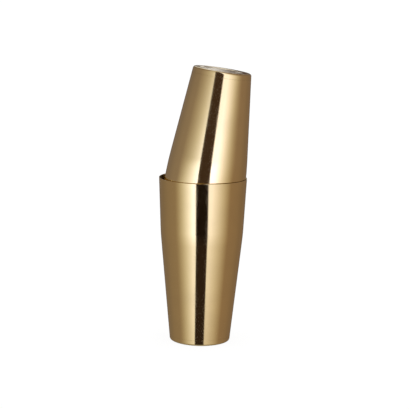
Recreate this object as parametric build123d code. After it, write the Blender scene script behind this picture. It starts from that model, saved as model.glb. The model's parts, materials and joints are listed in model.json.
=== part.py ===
from build123d import *
from dataclasses import dataclass
import math
import os

# Two-piece metal cocktail shaker, closed the way it is used: a large mixing tin stands upright
# and a small tin is pushed mouth-down into its mouth, cocked over to one side until it wedges.
# Millimetres. The origin is the centre of the large tin's underside, +Z runs up the large tin's
# axis, and the small tin leans towards +X.

# Sheet and edges, the same on both tins.
WALL = 0.6            # sheet thickness, measured level
LIP_RADIUS = 0.25     # rounding of both edges of a mouth
FLOOR_CORNER = 4.0    # inside radius where the floor meets the wall

# Weighted base, the same build on both tins: a steel disc lies under the tin's own floor, and
# a shallow cap covers it from below and comes a little way up the side, flush with the wall.
CAP_HEIGHT = 6.0      # underside to the cap's top edge
CAP_CORNER = 2.2      # outside radius of the cap's lower edge
CAP_FLOOR = 1.3       # underside to the top of the cap's bottom
DISH_DEPTH = 0.5      # the underside is dished by this much inside its foot ring
FOOT_WIDTH = 6.0      # foot ring, from the rounded corner in to the slope
DISH_SLOPE = 7.0      # level width of the slope between foot ring and dish
DISH_ROUND = 60.0     # radius of the bends at both ends of that slope
SEAM_GAP = 0.04       # hairline between the cap's top edge and the tin's wall
SEAM_ROUND = 0.06     # rounding of the two edges that face each other there
SKIRT_GAP = 0.05      # solder film between the cap's skirt and the tin
WEIGHT_THICKNESS = 2.7
WEIGHT_MARGIN = 1.7   # the disc stays this far inside the cap's skirt
HEEL_CORNER = 1.0     # outside radius of the tin's own lower edge, hidden by the cap

# How the small tin sits in the large one.
LEAN = 7.5            # degrees from upright, towards +X
SEAT_X = -0.9         # centre of the small tin's mouth
SEAT_Z = 145.9


@dataclass
class Tin:
    """A tin standing on the XY plane with its mouth up.

    Its wall is two cones, the lower one more open than the upper, joined by an arc that is
    tangent to both.
    """

    name: str
    height: float        # underside to lip
    base_radius: float   # of the lower cone, carried down to the underside
    lower_flare: float   # gain in radius per unit of height, below the bend
    upper_flare: float   # and above the bend
    bend_height: float   # where the two cones would meet
    bend_reach: float    # the arc's height on either side of that

    def radius(self, z):
        """Outside radius of the two cones at height z."""
        above = max(0.0, z - self.bend_height)
        below = min(z, self.bend_height)
        return self.base_radius + self.lower_flare * below + self.upper_flare * above

    def bend_radius(self):
        """Radius of the arc that starts bend_reach above and below the bend."""
        turn = math.atan(self.lower_flare) - math.atan(self.upper_flare)
        return self.bend_reach / math.tan(turn / 2)


LARGE = Tin("large_tin", 173.8, 31.63, 0.1017, 0.0463, 114.3, 7.0)
SMALL = Tin("small_tin", 142.0, 30.30, 0.1108, 0.0443, 102.2, 12.0)


def section(points):
    """Face in the XZ plane through the given (radius, height) corners."""
    return Face(Wire.make_polygon([(r, 0, z) for r, z in points], close=True))


def rounded(face, corner, radius):
    """The face with its corner nearest to (radius, height) rounded."""
    at = Vector(corner[0], 0, corner[1])
    nearest = min(face.vertices(), key=lambda v: (v.center() - at).length)
    return face.fillet_2d(radius, [nearest])


def turned(face):
    """Solid of revolution about the tin's axis."""
    return Solid.revolve(face, 360, Axis.Z)


def tin_body(tin):
    """Cup of constant sheet, stepped in at the bottom to take the cap's skirt."""
    floor_low = CAP_FLOOR + WEIGHT_THICKNESS
    floor_top = floor_low + WALL
    shoulder = CAP_HEIGHT + SEAM_GAP
    skirt = WALL + SKIRT_GAP
    heel = (tin.radius(floor_low) - skirt, floor_low)
    shoulder_out = (tin.radius(shoulder), shoulder)
    bend_out = (tin.radius(tin.bend_height), tin.bend_height)
    lip_out = (tin.radius(tin.height), tin.height)
    lip_in = (lip_out[0] - WALL, tin.height)
    bend_in = (bend_out[0] - WALL, tin.bend_height)
    floor_in = (tin.radius(floor_top) - WALL, floor_top)
    shoulder_in = (tin.radius(shoulder) - skirt, shoulder)
    outside = [heel, shoulder_in, shoulder_out, bend_out, lip_out]
    inside = [lip_in, bend_in, floor_in]
    face = section([(0, floor_low), *outside, *inside, (0, floor_top)])
    face = rounded(face, heel, HEEL_CORNER)
    face = rounded(face, shoulder_out, SEAM_ROUND)
    face = rounded(face, bend_out, tin.bend_radius())
    face = rounded(face, lip_out, LIP_RADIUS)
    face = rounded(face, lip_in, LIP_RADIUS)
    face = rounded(face, bend_in, tin.bend_radius())
    face = rounded(face, floor_in, FLOOR_CORNER)
    return turned(face)


def base_cap(tin):
    """Shallow cap with a foot ring around a dished underside."""
    foot_out = (tin.base_radius, 0)
    foot_in = tin.base_radius - CAP_CORNER - FOOT_WIDTH
    dish = foot_in - DISH_SLOPE
    edge_out = (tin.radius(CAP_HEIGHT), CAP_HEIGHT)
    edge_in = (edge_out[0] - WALL, CAP_HEIGHT)
    inside = (tin.radius(CAP_FLOOR) - WALL, CAP_FLOOR)
    underside = [(0, DISH_DEPTH), (dish, DISH_DEPTH), (foot_in, 0), foot_out]
    face = section([*underside, edge_out, edge_in, inside, (0, CAP_FLOOR)])
    face = rounded(face, (dish, DISH_DEPTH), DISH_ROUND)
    face = rounded(face, (foot_in, 0), DISH_ROUND)
    face = rounded(face, foot_out, CAP_CORNER)
    face = rounded(face, edge_out, SEAM_ROUND)
    face = rounded(face, inside, CAP_CORNER - WALL)
    return turned(face)


def base_weight(tin):
    """Plain disc that fills the height between the cap's bottom and the tin's floor."""
    radius = tin.radius(CAP_FLOOR) - WALL - WEIGHT_MARGIN
    top = CAP_FLOOR + WEIGHT_THICKNESS
    return turned(section([(0, CAP_FLOOR), (radius, CAP_FLOOR), (radius, top), (0, top)]))


def seated():
    """Place of the small tin: upside down, leaning, its mouth's centre at the seat."""
    lean = math.radians(LEAN)
    top_x = SEAT_X + SMALL.height * math.sin(lean)
    top_z = SEAT_Z + SMALL.height * math.cos(lean)
    return Location((top_x, 0, top_z), (0, 180 + LEAN, 0))


def write_tin(tin, place):
    """One STEP file for each piece of a tin."""
    pieces = {"body": tin_body(tin), "base_weight": base_weight(tin), "base_cap": base_cap(tin)}
    for piece, solid in pieces.items():
        export_step(solid.moved(place), f"parts/{tin.name}_{piece}.step")


os.makedirs("parts", exist_ok=True)
write_tin(LARGE, Location((0, 0, 0)))
write_tin(SMALL, seated())
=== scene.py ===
"""Two polished gold shaker tins: a small tin wedged upside down in the mouth of a large one."""

import json
import math

import bpy
import numpy as np
from mathutils import Matrix, Vector


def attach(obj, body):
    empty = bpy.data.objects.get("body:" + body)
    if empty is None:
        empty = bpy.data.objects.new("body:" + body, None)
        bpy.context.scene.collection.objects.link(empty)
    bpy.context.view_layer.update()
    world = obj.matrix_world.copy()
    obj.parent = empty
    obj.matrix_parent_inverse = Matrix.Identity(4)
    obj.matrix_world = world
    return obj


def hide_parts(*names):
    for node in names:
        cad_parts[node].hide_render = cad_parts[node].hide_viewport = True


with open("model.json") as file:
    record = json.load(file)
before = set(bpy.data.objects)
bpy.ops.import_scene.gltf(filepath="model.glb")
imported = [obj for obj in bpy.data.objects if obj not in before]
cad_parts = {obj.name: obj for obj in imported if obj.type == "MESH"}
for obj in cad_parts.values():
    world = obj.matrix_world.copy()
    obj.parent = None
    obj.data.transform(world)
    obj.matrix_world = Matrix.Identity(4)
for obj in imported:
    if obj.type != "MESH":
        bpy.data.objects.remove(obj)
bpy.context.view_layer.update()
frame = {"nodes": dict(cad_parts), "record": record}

# Metres, in the frame's own axes: +Z up the large tin, the small tin leans towards +X.
MM = 0.001
WALL = 0.6 * MM
LIP_RADIUS = 0.25 * MM
FLOOR_CORNER = 4.0 * MM
CAP_HEIGHT = 6.0 * MM
CAP_CORNER = 2.2 * MM
CAP_FLOOR = 1.3 * MM
DISH_DEPTH = 0.5 * MM
FOOT_WIDTH = 6.0 * MM
DISH_SLOPE = 7.0 * MM
SEAM_GAP = 0.04 * MM
SEAM_ROUND = 0.06 * MM
SKIRT_GAP = 0.05 * MM
WEIGHT_THICKNESS = 2.7 * MM
HEEL_CORNER = 1.0 * MM
DISH_ROUND = 60.0 * MM   # bends at both ends of the dish's slope
EASED = 0.1 * MM        # rounding of corners that are only deburred

AROUND = 288            # faces round a tin
ROW = 4.0 * MM          # longest row of faces up a wall
ARC_STEP = math.radians(10)


# ---------------------------------------------------------------- shapes


class Tin:
    """Two cones joined by a tangent arc, described standing on its underside with its mouth up."""

    def __init__(self, body, height, base_radius, lower_flare, upper_flare, bend_height, bend_reach):
        self.body = body
        self.height = height
        self.base_radius = base_radius
        self.lower_flare = lower_flare
        self.upper_flare = upper_flare
        self.bend_height = bend_height
        turn = math.atan(lower_flare) - math.atan(upper_flare)
        self.bend_radius = bend_reach / math.tan(turn / 2)

    def radius(self, z):
        """Outside radius of the two cones at height z."""
        below = min(z, self.bend_height)
        above = max(0.0, z - self.bend_height)
        return self.base_radius + self.lower_flare * below + self.upper_flare * above


LARGE = Tin("large_tin", 173.8 * MM, 31.63 * MM, 0.1017, 0.0463, 114.3 * MM, 7.0 * MM)
SMALL = Tin("small_tin", 142.0 * MM, 30.30 * MM, 0.1108, 0.0443, 102.2 * MM, 12.0 * MM)


def seated():
    """Turns the small tin over onto its leaning axis, with its foot ring at its own mount."""
    mount = next(m for m in frame["record"]["mounts"] if m["name"] == "small_tin_base")
    outward = Vector(mount["axis"]).normalized()
    lean = math.atan2(outward.x, outward.z)
    ring_middle = SMALL.base_radius - CAP_CORNER - FOOT_WIDTH / 2
    downhill = Vector((outward.z, 0.0, -outward.x))
    underside = Vector(mount["pos_m"]) + downhill * ring_middle
    return Matrix.Translation(underside) @ Matrix.Rotation(math.pi + lean, 4, "Y")


def outline(corners):
    """Profile through (radius, height, rounding) corners, with the metal on its left.

    Each rounded corner is an arc tangent to its two sides, stepped evenly in angle, and each side is
    cut into even rows. Returns the points, their outward normals, and the number of the corner that
    each point leads up to.
    """
    places = np.array([corner[:2] for corner in corners])
    sides = np.diff(places, axis=0)
    sides /= np.linalg.norm(sides, axis=1)[:, None]
    points, normals, leads_to = [], [], []
    leaving = places[0]
    for i, side in enumerate(sides, start=1):
        rounding = corners[i][2]
        turn = 0.0
        if rounding:
            after = sides[i]
            turn = math.atan2(side[0] * after[1] - side[1] * after[0], side @ after)
        arriving = places[i] - side * rounding * abs(math.tan(turn / 2))
        outward = np.array((side[1], -side[0]))
        rows = max(2, math.ceil(np.linalg.norm(arriving - leaving) / ROW) + 1)
        points.append(leaving + np.linspace(0.0, 1.0, rows)[:, None] * (arriving - leaving))
        normals.append(np.tile(outward, (rows, 1)))
        leaving = arriving
        if rounding:
            steps = max(2, math.ceil(abs(turn) / ARC_STEP))
            angle = np.linspace(0.0, turn, steps + 1)[1:-1]
            spoke = np.stack((
                outward[0] * np.cos(angle) - outward[1] * np.sin(angle),
                outward[0] * np.sin(angle) + outward[1] * np.cos(angle),
            ), axis=1)
            reach = math.copysign(rounding, turn)
            points.append(arriving - reach * outward + reach * spoke)
            normals.append(spoke)
            leaving = places[i] + after * rounding * abs(math.tan(turn / 2))
        leads_to.append(np.full(sum(map(len, points)) - sum(map(len, leads_to)), i))
    return np.vstack(points), np.vstack(normals), np.concatenate(leads_to)


def turned(name, tin, corners, place, materials, second=()):
    """Surface of revolution of an outline that starts and ends on the axis.

    Point (i, j) lies at the outline's radius i, turned through j equal steps. Faces that lead up to
    the corners numbered in second take the second material.
    """
    points, normals, leads_to = outline(corners)
    angle = np.arange(AROUND) * (2 * math.pi / AROUND)
    round_x, round_y = np.cos(angle), np.sin(angle)

    def swept(pairs):
        ring = np.stack((
            pairs[:, :1] * round_x,
            pairs[:, :1] * round_y,
            np.repeat(pairs[:, 1:], AROUND, axis=1),
        ), axis=2)
        return np.vstack((ring[0, :1], ring[1:-1].reshape(-1, 3), ring[-1, :1]))

    own = swept(points)
    facing = swept(normals)
    facing[[0, -1]] = ((0, 0, normals[0, 1]), (0, 0, normals[-1, 1]))
    rings = 1 + np.arange((len(points) - 2) * AROUND).reshape(-1, AROUND)
    after = np.roll(rings, -1, axis=1)
    last = len(own) - 1
    fan_in = np.stack((np.zeros(AROUND, int), after[0], rings[0]), axis=1)
    quads = np.stack((rings[:-1], after[:-1], after[1:], rings[1:]), axis=2).reshape(-1, 4)
    fan_out = np.stack((rings[-1], after[-1], np.full(AROUND, last)), axis=1)
    matrix = np.array(place)
    mesh = bpy.data.meshes.new(name)
    world = own @ matrix[:3, :3].T + matrix[:3, 3]
    mesh.from_pydata(world.tolist(), [], fan_in.tolist() + quads.tolist() + fan_out.tolist())
    for material in materials:
        mesh.materials.append(material)
    row = np.isin(leads_to[1:], second)
    mesh.polygons.foreach_set("material_index", np.repeat(row, AROUND).astype(np.int32))
    mesh.polygons.foreach_set("use_smooth", np.ones(len(mesh.polygons), bool))
    kept = mesh.attributes.new("own_place", "FLOAT_VECTOR", "POINT")
    kept.data.foreach_set("vector", own.astype(np.float32).ravel())
    mesh.update()
    mesh.normals_split_custom_set_from_vertices((facing @ matrix[:3, :3].T).tolist())
    piece = bpy.data.objects.new(name, mesh)
    bpy.context.scene.collection.objects.link(piece)
    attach(piece, tin.body)
    return piece


def tin_body(tin, place, materials):
    """Cup of even sheet, stepped in at the bottom where the cap's skirt lies over it."""
    floor_low = CAP_FLOOR + WEIGHT_THICKNESS
    floor_top = floor_low + WALL
    shoulder = CAP_HEIGHT + SEAM_GAP
    skirt = WALL + SKIRT_GAP
    bend = tin.radius(tin.bend_height)
    lip = tin.radius(tin.height)
    corners = [
        (0.0, floor_low, 0.0),
        (tin.radius(floor_low) - skirt, floor_low, HEEL_CORNER),
        (tin.radius(shoulder) - skirt, shoulder, EASED),
        (tin.radius(shoulder), shoulder, SEAM_ROUND),
        (bend, tin.bend_height, tin.bend_radius),
        (lip, tin.height, LIP_RADIUS),
        (lip - WALL, tin.height, LIP_RADIUS),
        (bend - WALL, tin.bend_height, tin.bend_radius),
        (tin.radius(floor_top) - WALL, floor_top, FLOOR_CORNER),
        (0.0, floor_top, 0.0),
    ]
    piece = turned(tin.body + "_cup", tin, corners, place, materials, second=(7, 8, 9))
    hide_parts(tin.body + "_body")


def base_cap(tin, place, materials):
    """Shallow cap whose underside is dished inside a foot ring."""
    foot_in = tin.base_radius - CAP_CORNER - FOOT_WIDTH
    edge = tin.radius(CAP_HEIGHT)
    corners = [
        (0.0, DISH_DEPTH, 0.0),
        (foot_in - DISH_SLOPE, DISH_DEPTH, DISH_ROUND),
        (foot_in, 0.0, DISH_ROUND),
        (tin.base_radius, 0.0, CAP_CORNER),
        (edge, CAP_HEIGHT, SEAM_ROUND),
        (edge - WALL, CAP_HEIGHT, EASED),
        (tin.radius(CAP_FLOOR) - WALL, CAP_FLOOR, CAP_CORNER - WALL),
        (0.0, CAP_FLOOR, 0.0),
    ]
    piece = turned(tin.body + "_foot", tin, corners, place, materials, second=(1, 2, 3))
    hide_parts(tin.body + "_base_cap")


# ---------------------------------------------------------------- shading


class Wire:
    """A socket's value. Arithmetic on it adds Math nodes to its tree."""

    def __init__(self, nodes, socket):
        self.nodes = nodes
        self.socket = socket

    def math(self, operation, *values):
        return self.nodes.add("ShaderNodeMath", {"operation": operation}, dict(enumerate(values)))

    def __add__(self, other):
        return self.math("ADD", self, other)

    def __sub__(self, other):
        return self.math("SUBTRACT", self, other)

    def __rsub__(self, other):
        return self.math("SUBTRACT", other, self)

    def __mul__(self, other):
        return self.math("MULTIPLY", self, other)

    def __truediv__(self, other):
        return self.math("DIVIDE", self, other)

    def __pow__(self, other):
        return self.math("POWER", self, other)

    def __abs__(self):
        return self.math("ABSOLUTE", self)

    __radd__ = __add__
    __rmul__ = __mul__


class Nodes:
    """A node tree that is built by adding nodes with their settings and inputs."""

    def __init__(self, tree):
        self.tree = tree
        tree.nodes.clear()

    def add(self, kind, settings=None, inputs=None, output=0):
        node = self.tree.nodes.new(kind)
        for name, value in (settings or {}).items():
            if name == "stops":
                self.set_stops(node.color_ramp, value)
            else:
                setattr(node, name, value)
        for name, value in (inputs or {}).items():
            if isinstance(value, Wire):
                self.tree.links.new(value.socket, node.inputs[name])
            else:
                node.inputs[name].default_value = value
        return Wire(self, node.outputs[output]) if len(node.outputs) else node

    def set_stops(self, ramp, stops):
        """Gives a new colour ramp its (place, colour) stops, in rising order from 0 to 1."""
        for place, _ in stops[1:-1]:
            ramp.elements.new(place)
        for element, (_, colour) in zip(ramp.elements, stops):
            element.color = (*colour, 1.0)

    def split(self, vector):
        """The three parts of a vector."""
        node = self.add("ShaderNodeSeparateXYZ", inputs={"Vector": vector}).socket.node
        return [Wire(self, socket) for socket in node.outputs]

    def join(self, x, y, z):
        return self.add("ShaderNodeCombineXYZ", inputs={0: x, 1: y, 2: z})

    def ramp(self, value, start, end, low=0.0, high=1.0):
        """Smooth step from low at start to high at end."""
        return self.add(
            "ShaderNodeMapRange",
            {"interpolation_type": "SMOOTHSTEP"},
            {"Value": value, "From Min": start, "From Max": end, "To Min": low, "To Max": high},
        )

    def clamp(self, value):
        """The value held between 0 and 1."""
        return self.add("ShaderNodeClamp", inputs={"Value": value})

    def glow(self, colour, strength):
        return self.add("ShaderNodeBackground", inputs={"Color": colour, "Strength": strength})

    def together(self, one, other):
        return self.add("ShaderNodeAddShader", inputs={0: one, 1: other})

    def noise(self, vector, scale, detail=2.0, rough=0.5):
        """Even noise between 0 and 1."""
        inputs = {"Vector": vector, "Scale": scale, "Detail": detail, "Roughness": rough}
        return self.add("ShaderNodeTexNoise", {"noise_dimensions": "3D"}, inputs)

    def stretch(self, vector, scale):
        """The vector with its three parts scaled apart."""
        return self.add("ShaderNodeMapping", {"vector_type": "POINT"}, {"Vector": vector, "Scale": scale})

    def tint(self, factor, low, high):
        """Colour that goes from low to high with the factor."""
        low, high = (c if isinstance(c, Wire) else (*c, 1.0) for c in (low, high))
        settings = {"data_type": "RGBA", "clamp_factor": True}
        return self.add("ShaderNodeMix", settings, {0: factor, 6: low, 7: high}, output=2)

    def levels(self, value, stops):
        """Straight runs through (value, level) stops. No level is below zero."""
        first, last = stops[0][0], stops[-1][0]
        along = self.add("ShaderNodeMapRange", inputs={"Value": value, "From Min": first, "From Max": last})
        top = max(level for _, level in stops)
        greys = [((at - first) / (last - first), (level / top,) * 3) for at, level in stops]
        return self.add("ShaderNodeValToRGB", {"stops": greys}, {"Fac": along}) * top


GOLD = (0.89, 0.74, 0.39)
GOLD_WORN = (0.85, 0.705, 0.375)
# Darker gold for the inside of the tins: painted shade for the dim inside, not a different metal colour.
GOLD_INSIDE_PAINTED_SHADE = (0.74, 0.6, 0.33)


def new_material(name):
    material = bpy.data.materials.new(name)
    material.use_nodes = True
    return material, Nodes(material.node_tree)


def finish_material(nodes, base, roughness, normal):
    """Bare metal with the given colour, roughness and bumps."""
    shader = nodes.add(
        "ShaderNodeBsdfPrincipled",
        inputs={"Base Color": base, "Roughness": roughness, "Metallic": 1.0, "Normal": normal},
    )
    nodes.add("ShaderNodeOutputMaterial", inputs={"Surface": shader})


def polished_gold():
    """Mirror-buffed coating: faint buffing lines round the tin, soft smears and hairline scratches."""
    material, nodes = new_material("polished_gold")
    place = nodes.add("ShaderNodeAttribute", {"attribute_name": "own_place"}, output=1)
    smear = nodes.noise(place, 38.0, 3.0, 0.55)
    lines = nodes.noise(nodes.stretch(place, (60.0, 60.0, 2600.0)), 1.0, 2.0, 0.6)
    hairs = nodes.noise(nodes.stretch(place, (900.0, 900.0, 90.0)), 1.0, 3.0, 0.7)
    scratch = nodes.ramp(hairs, 0.68, 0.8)
    base = nodes.tint(nodes.ramp(smear, 0.35, 0.75), GOLD, GOLD_WORN)
    roughness = 0.07 + 0.04 * nodes.ramp(smear, 0.4, 0.75) + 0.03 * lines + 0.05 * scratch
    height = 0.6 * lines + 0.25 * scratch
    normal = nodes.add("ShaderNodeBump", inputs={"Strength": 0.05, "Distance": 0.0001, "Height": height})
    finish_material(nodes, base, roughness, normal)
    return material


def spun_gold():
    """Underside of a tin: the coating over the fine rings that spinning leaves round its middle."""
    material, nodes = new_material("spun_gold")
    place = nodes.add("ShaderNodeAttribute", {"attribute_name": "own_place"}, output=1)
    x, y, _ = nodes.split(place)
    radius = (x * x + y * y) ** 0.5
    coarse = nodes.noise(nodes.join(radius * 1400.0, 0.0, 0.0), 1.0, 2.0, 0.6)
    fine = nodes.noise(nodes.join(radius * 6000.0, 3.0, 0.0), 1.0, 1.0, 0.5)
    rings = 0.6 * coarse + 0.4 * fine
    base = nodes.tint(rings, GOLD, GOLD_WORN)
    roughness = 0.07 + 0.05 * rings
    normal = nodes.add("ShaderNodeBump", inputs={"Strength": 0.3, "Distance": 0.0001, "Height": rings})
    finish_material(nodes, base, roughness, normal)
    return material


def satin_gold():
    """Inside of a tin: the coating over coarser spinning lines, on a base darker than the outside that is
    painted shade for the dim inside of the tin.
    """
    material, nodes = new_material("satin_gold")
    place = nodes.add("ShaderNodeAttribute", {"attribute_name": "own_place"}, output=1)
    smear = nodes.noise(place, 30.0, 3.0, 0.6)
    lines = nodes.noise(nodes.stretch(place, (30.0, 30.0, 1500.0)), 1.0, 3.0, 0.65)
    base = nodes.tint(smear, GOLD_INSIDE_PAINTED_SHADE, GOLD_WORN)
    roughness = 0.18 + 0.08 * lines + 0.05 * smear
    normal = nodes.add("ShaderNodeBump", inputs={"Strength": 0.2, "Distance": 0.0001, "Height": lines})
    finish_material(nodes, base, roughness, normal)
    return material


def weight_steel():
    """Plain steel of the weight discs, with a fine even grain."""
    material, nodes = new_material("weight_steel")
    place = nodes.add("ShaderNodeTexCoord", output=3)
    grain = nodes.noise(nodes.stretch(place, (800.0, 800.0, 800.0)), 1.0, 3.0, 0.6)
    base = nodes.tint(grain, (0.50, 0.50, 0.49), (0.60, 0.60, 0.59))
    normal = nodes.add("ShaderNodeBump", inputs={"Strength": 0.2, "Distance": 0.0001, "Height": grain})
    finish_material(nodes, base, 0.3 + 0.15 * grain, normal)
    return material


# ---------------------------------------------------------------- studio

WHITE = 1.02            # strength of the backdrop and of the far floor
WHITEST = 1.6           # strength at which a panel's light is at its whitest
SLOT_BLUR = 0.8         # degrees to either side over which an edge of the slot fades
PANEL_EDGE = 25.0       # degrees aside at which a panel starts to fade outwards


def studio():
    """Surroundings that the metal mirrors, in degrees of azimuth from the viewer and of height.

    Two tall lit panels stand left and right of a dark slot, each fading outwards into a dim warm
    room. The slot drifts sideways with height. High behind the tins it is light, with a narrow
    bright doorway under that, and the table underneath is dimly lit.
    Only mirrored rays see this; the rest see an even white dome.
    """
    world = bpy.data.worlds.new("studio")
    bpy.context.scene.world = world
    world.use_nodes = True
    world.cycles.sampling_method = "NONE"
    nodes = Nodes(world.node_tree)
    x, y, z = nodes.split(nodes.add("ShaderNodeTexCoord", output=0))
    degrees = math.degrees(1.0)
    side = x.math("ARCTAN2", x, 0.0 - y) * degrees
    aside = abs(side)
    height = z.math("ARCSINE", z) * degrees

    slot_left = nodes.levels(height, [
        (-27, 19.2), (-23, 16.3), (-17, 16.2), (-14, 18.4), (1, 23.0), (7, 22.9), (11, 25.5),
    ])
    slot_right = nodes.levels(height, [
        (-27, 16.7), (-23.5, 16.1), (-16, 16.7), (-14, 15.0), (-1, 10.0), (2, 10.6), (11, 6.5),
    ])
    on_left = nodes.ramp(side + slot_left, -SLOT_BLUR, SLOT_BLUR, 1.0, 0.0)
    on_right = nodes.ramp(side - slot_right, -SLOT_BLUR, SLOT_BLUR)
    in_slot = 1.0 - on_left - on_right

    reach = nodes.ramp(height, -14.0, -4.0, 80.0, 91.0)
    inwards = nodes.clamp((reach - aside) / (reach - PANEL_EDGE))
    left_level = nodes.levels(height, [
        (-45, 0.0), (-27, 0.42), (-26, 0.7), (-22, 0.87), (-13, 1.3), (0, 1.33),
        (6, 1.2), (10, 0.63), (14, 0.34), (40, 0.5), (75, 0.8), (90, 0.9),
    ])
    right_level = nodes.levels(height, [
        (-45, 0.0), (-27, 0.36), (-25.5, 0.56), (-23, 0.68), (-16.5, 0.84), (-14, 0.96),
        (-6, 1.43), (0, 1.45), (4, 1.04), (6, 0.88), (20, 0.85), (90, 0.85),
    ])
    left = on_left * inwards ** nodes.ramp(height, -14.0, -5.0, 1.5, 1.38) * left_level
    right = on_right * inwards ** nodes.ramp(height, -14.0, -5.0, 1.15, 1.85) * right_level
    panel = (left + right) * nodes.ramp(aside, 12.0, 24.0, 1.12, 1.0)
    bright_colour = nodes.tint(on_right, (1.0, 1.11, 1.78), (1.0, 1.06, 1.7))
    panel_colour = nodes.tint((panel / WHITEST) ** 0.7, (1.0, 0.99, 0.7), bright_colour)

    far = nodes.levels(aside, [
        (80, 0.29), (108, 0.265), (130, 0.225), (150, 0.215), (165, 0.18), (175, 0.1),
    ])
    low = nodes.ramp(height, -45.0, -27.0, 0.4, 1.0)
    room = (1.0 - in_slot) * far * low
    upper = nodes.tint(nodes.ramp(side, -60.0, 60.0), (1.0, 0.78, 0.68), (1.0, 0.72, 0.59))
    lower = nodes.tint(nodes.ramp(side, -60.0, 60.0), (1.0, 0.745, 0.56), (1.0, 0.69, 0.49))
    room_colour = nodes.tint(nodes.ramp(height, -14.0, 2.0), lower, upper)

    table = nodes.levels(height, [(-90, 0.34), (-50, 0.2), (-30, 0.02), (-27, 0.0)])
    slot = in_slot * nodes.levels(height, [
        (-27, 0.03), (-22, 0.024), (-17, 0.011), (-13, 0.009), (-4, 0.052), (90, 0.052),
    ])
    behind = 1.3 * nodes.ramp(aside, 168.0, 176.0) * nodes.ramp(height, 9.0, 14.0)
    behind = behind * nodes.ramp(height, 25.0, 60.0, 1.0, 0.0)
    doorway = nodes.levels(side, [(177.8, 0.0), (178.45, 0.75), (178.75, 0.75), (179.0, 0.0)])
    behind = behind + doorway * nodes.ramp(height, 0.0, 3.0)

    room_light = nodes.glow(room_colour, room)
    table_light = nodes.glow((1.0, 0.95, 0.8, 1.0), table)
    panel_light = nodes.glow(panel_colour, panel)
    behind_light = nodes.glow((1.0, 1.0, 1.0, 1.0), behind)
    slot_light = nodes.glow((1.0, 0.58, 0.42, 1.0), slot)
    mirrored = nodes.together(room_light, table_light)
    for lit in (panel_light, behind_light, slot_light):
        mirrored = nodes.together(mirrored, lit)
    dome = nodes.glow((1.0, 1.0, 1.0, 1.0), WHITE)
    mirrored_ray = nodes.add("ShaderNodeLightPath", output=3)
    both = nodes.add("ShaderNodeMixShader", inputs={0: mirrored_ray, 1: dome, 2: mirrored})
    nodes.add("ShaderNodeOutputWorld", inputs={"Surface": both})


def floor():
    """Plain pale disc that the metal doesn't mirror.

    It glows white, and near the tins an eighth of it is lit floor that can take a faint shadow.
    Point (i, j) lies on ring i, whose radii grow by an even ratio, turned through j equal steps.
    """
    spokes, rings = 128, 24
    angle = np.linspace(0.0, 2 * math.pi, spokes, endpoint=False)
    reach = np.geomspace(0.05, 6.0, rings)[:, None]
    points = np.stack((reach * np.cos(angle), reach * np.sin(angle), np.zeros((rings, spokes))), axis=2)
    grid = np.arange(rings * spokes).reshape(rings, spokes)
    after = np.roll(grid, -1, axis=1)
    quads = np.stack((grid[:-1], grid[1:], after[1:], after[:-1]), axis=2).reshape(-1, 4)
    mesh = bpy.data.meshes.new("floor")
    mesh.from_pydata(points.reshape(-1, 3).tolist(), [], [grid[0].tolist(), *quads.tolist()])
    disc = bpy.data.objects.new("floor", mesh)
    bpy.context.scene.collection.objects.link(disc)
    material, nodes = new_material("pale_floor")
    place = nodes.add("ShaderNodeTexCoord", output=3)
    grain = nodes.noise(place, 3.0, 2.0, 0.5)
    pale = nodes.tint(grain, (0.93, 0.93, 0.93), (0.95, 0.95, 0.95))
    lit = nodes.add("ShaderNodeBsdfPrincipled", inputs={"Base Color": pale, "Roughness": 0.9})
    white = nodes.add("ShaderNodeEmission", inputs={"Color": (1.0, 1.0, 1.0, 1.0), "Strength": WHITE})
    distance = nodes.add("ShaderNodeVectorMath", {"operation": "LENGTH"}, {0: place}, output=1)
    faded = nodes.ramp(distance, 0.04, 0.3, 0.88, 1.0)
    surface = nodes.add("ShaderNodeMixShader", inputs={0: faded, 1: lit, 2: white})
    nodes.add("ShaderNodeOutputMaterial", inputs={"Surface": surface})
    mesh.materials.append(material)
    disc.visible_glossy = False


def overhead_light():
    """Large soft light over the floor, not mirrored by the metal."""
    light = bpy.data.lights.new("overhead", "AREA")
    light.shape = "DISK"
    light.size = 1.5
    light.energy = 5.0
    lamp = bpy.data.objects.new("overhead", light)
    lamp.location = (0.0, 0.0, 1.6)
    lamp.visible_glossy = False
    bpy.context.scene.collection.objects.link(lamp)


def camera():
    """Eye a little above the tins and well back from them, with a long lens."""
    data = bpy.data.cameras.new("camera")
    data.sensor_width = 36.0
    data.lens = 129.9
    data.clip_end = 50.0
    eye = bpy.data.objects.new("camera", data)
    eye.location = (0.0, -1.5256, 0.4086)
    pitch, yaw, roll = (math.radians(a) for a in (9.80, 0.08, 1.26))
    look = Matrix.Rotation(-yaw, 3, "Z") @ Matrix.Rotation(math.pi / 2 - pitch, 3, "X")
    eye.rotation_euler = (look @ Matrix.Rotation(roll, 3, "Z")).to_euler()
    bpy.context.scene.collection.objects.link(eye)
    bpy.context.scene.camera = eye


# ---------------------------------------------------------------- assembly

outer, inner, under, steel = polished_gold(), satin_gold(), spun_gold(), weight_steel()
for tin, place in ((LARGE, Matrix.Identity(4)), (SMALL, seated())):
    tin_body(tin, place, [outer, inner])
    base_cap(tin, place, [outer, under])
    weight = frame["nodes"][tin.body + "_base_weight"]
    weight.data.materials.clear()
    weight.data.materials.append(steel)

studio()
floor()
overhead_light()
camera()
bpy.context.scene.view_settings.view_transform = "Standard"
